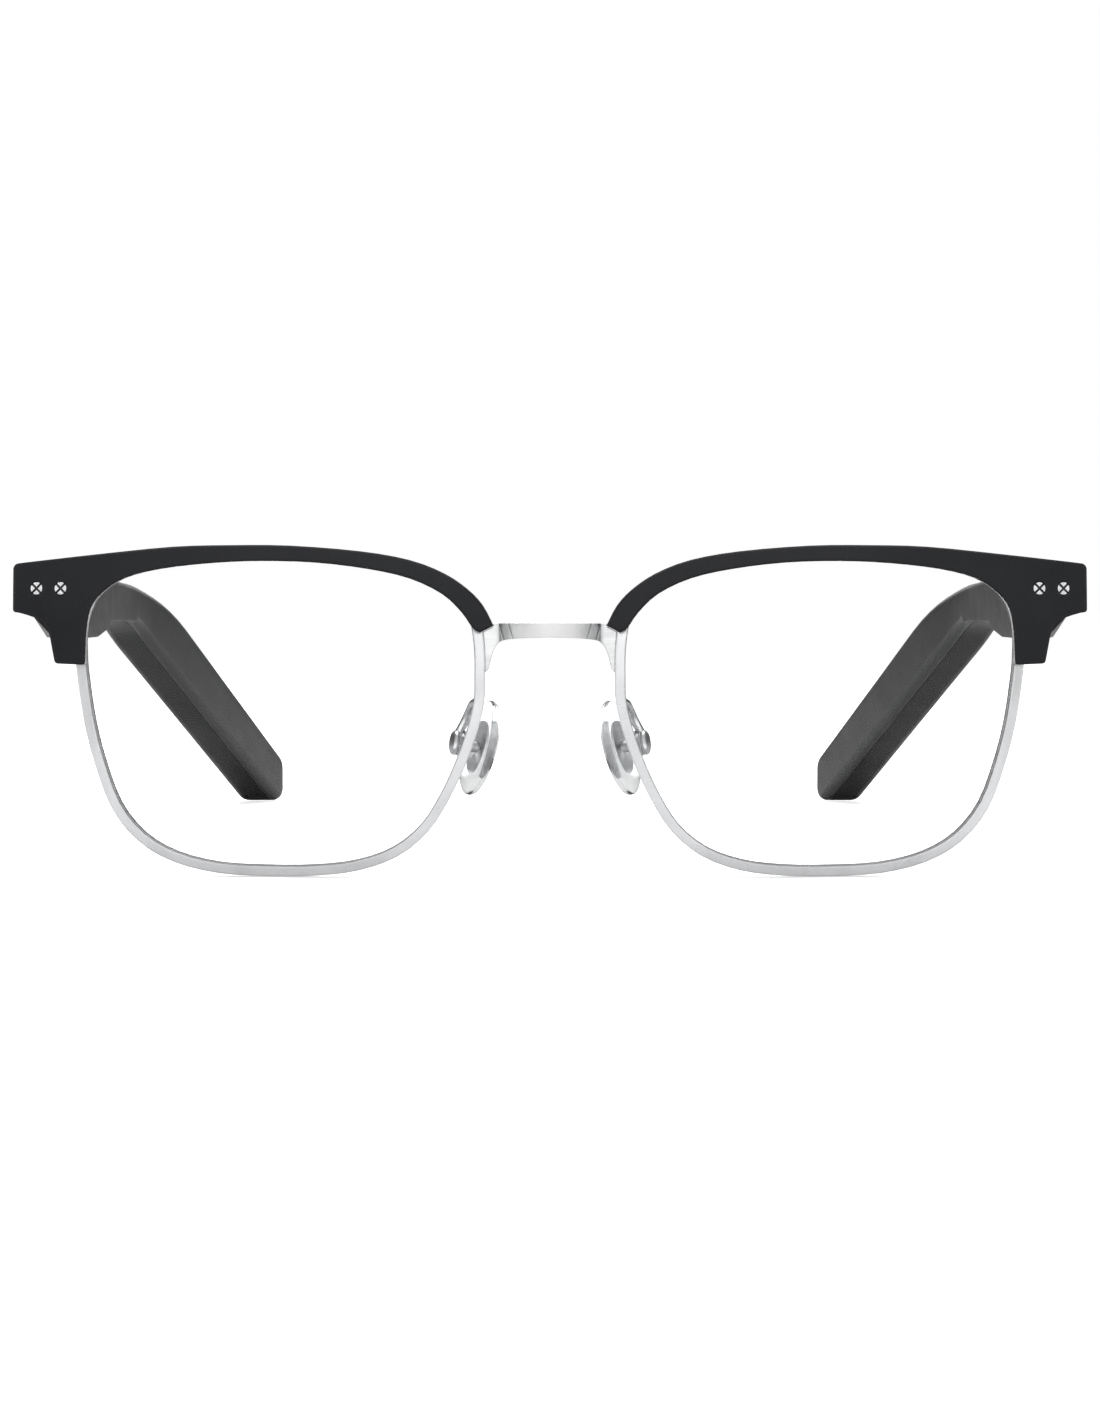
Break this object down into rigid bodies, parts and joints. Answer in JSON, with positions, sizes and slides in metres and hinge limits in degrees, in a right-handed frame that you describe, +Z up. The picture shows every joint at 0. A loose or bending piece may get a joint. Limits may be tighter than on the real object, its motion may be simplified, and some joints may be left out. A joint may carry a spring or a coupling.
{
  "type": "smart glasses",
  "caption": "Browline audio glasses with black brow caps, silver wire rims, a metal bridge, clear nose pads and thick black folding temples that hold the electronics.",
  "frame": {"origin": "on the surface that the open glasses stand on, under the middle of their bounding box", "axes": "+Z up, -Y out of the front of the lenses, +X to the wearer's left; X = 0 is the mirror plane"},
  "size_m": [0.1498, 0.1516, 0.0439],
  "materials": {
    "black_brow": "satin black moulded brow caps",
    "black_temple": "satin black moulded temple shells",
    "black_cover": "satin black inner covers with a soft edge highlight",
    "silver_rim": "polished silver wire",
    "brushed_silver": "brushed silver bridge with faceted ends",
    "silver_rivet": "polished rivets with a crossed cut",
    "steel": "turned and stamped stainless steel",
    "clear_lens": "clear coated lens",
    "clear_silicone": "clear silicone",
    "green_board": "green circuit board",
    "amber_film": "amber flexible circuit film",
    "gold": "gold-plated contacts",
    "magnet": "plated magnet",
    "black_module": "black speaker module",
    "dark_mesh": "dark slotted grille",
    "battery_sleeve": "sleeved cell"
  },
  "bodies": {
    "front": {"bridge": "brushed_silver", "pad_screws": "steel", "rim_lock_screws": "steel", "left_brow_cap": "black_brow", "left_eyewire": "silver_rim", "left_lens": "clear_lens", "left_pad_arm": "silver_rim", "left_nose_pad": "clear_silicone", "left_pad_core": "steel", "left_brow_rivets": "silver_rivet", "left_hinge_front_leaf": "steel", "left_hinge_screw": "steel", "right_brow_cap": "black_brow", "right_eyewire": "silver_rim", "right_lens": "clear_lens", "right_pad_arm": "silver_rim", "right_nose_pad": "clear_silicone", "right_pad_core": "steel", "right_brow_rivets": "silver_rivet", "right_hinge_front_leaf": "steel", "right_hinge_screw": "steel"},
    "left_temple": {"left_temple_shell": "black_temple", "left_temple_cover": "black_cover", "left_hinge_rear_leaf": "steel", "left_leaf_screws": "steel", "left_main_board": "green_board", "left_touch_strip": "amber_film", "left_microphone": "steel", "left_charge_contacts": "gold", "left_charge_magnet": "magnet", "left_speaker": "black_module", "left_speaker_grille": "dark_mesh", "left_battery": "battery_sleeve", "left_battery_flex": "amber_film"},
    "right_temple": {"right_temple_shell": "black_temple", "right_temple_cover": "black_cover", "right_hinge_rear_leaf": "steel", "right_leaf_screws": "steel", "right_main_board": "green_board", "right_touch_strip": "amber_film", "right_microphone": "steel", "right_charge_contacts": "gold", "right_charge_magnet": "magnet", "right_speaker": "black_module", "right_speaker_grille": "dark_mesh", "right_battery": "battery_sleeve", "right_battery_flex": "amber_film"}
  },
  "joints": [
    {"name": "left_temple_fold", "type": "hinge", "parent": "front", "child": "left_temple", "pos_m": [0.0646, -0.0619, 0.0382], "axis": [0, 0, 1], "range_deg": [0, 85]},
    {"name": "right_temple_fold", "type": "hinge", "parent": "front", "child": "right_temple", "pos_m": [-0.0646, -0.0619, 0.0382], "axis": [0, 0, -1], "range_deg": [0, 67]}
  ]
}
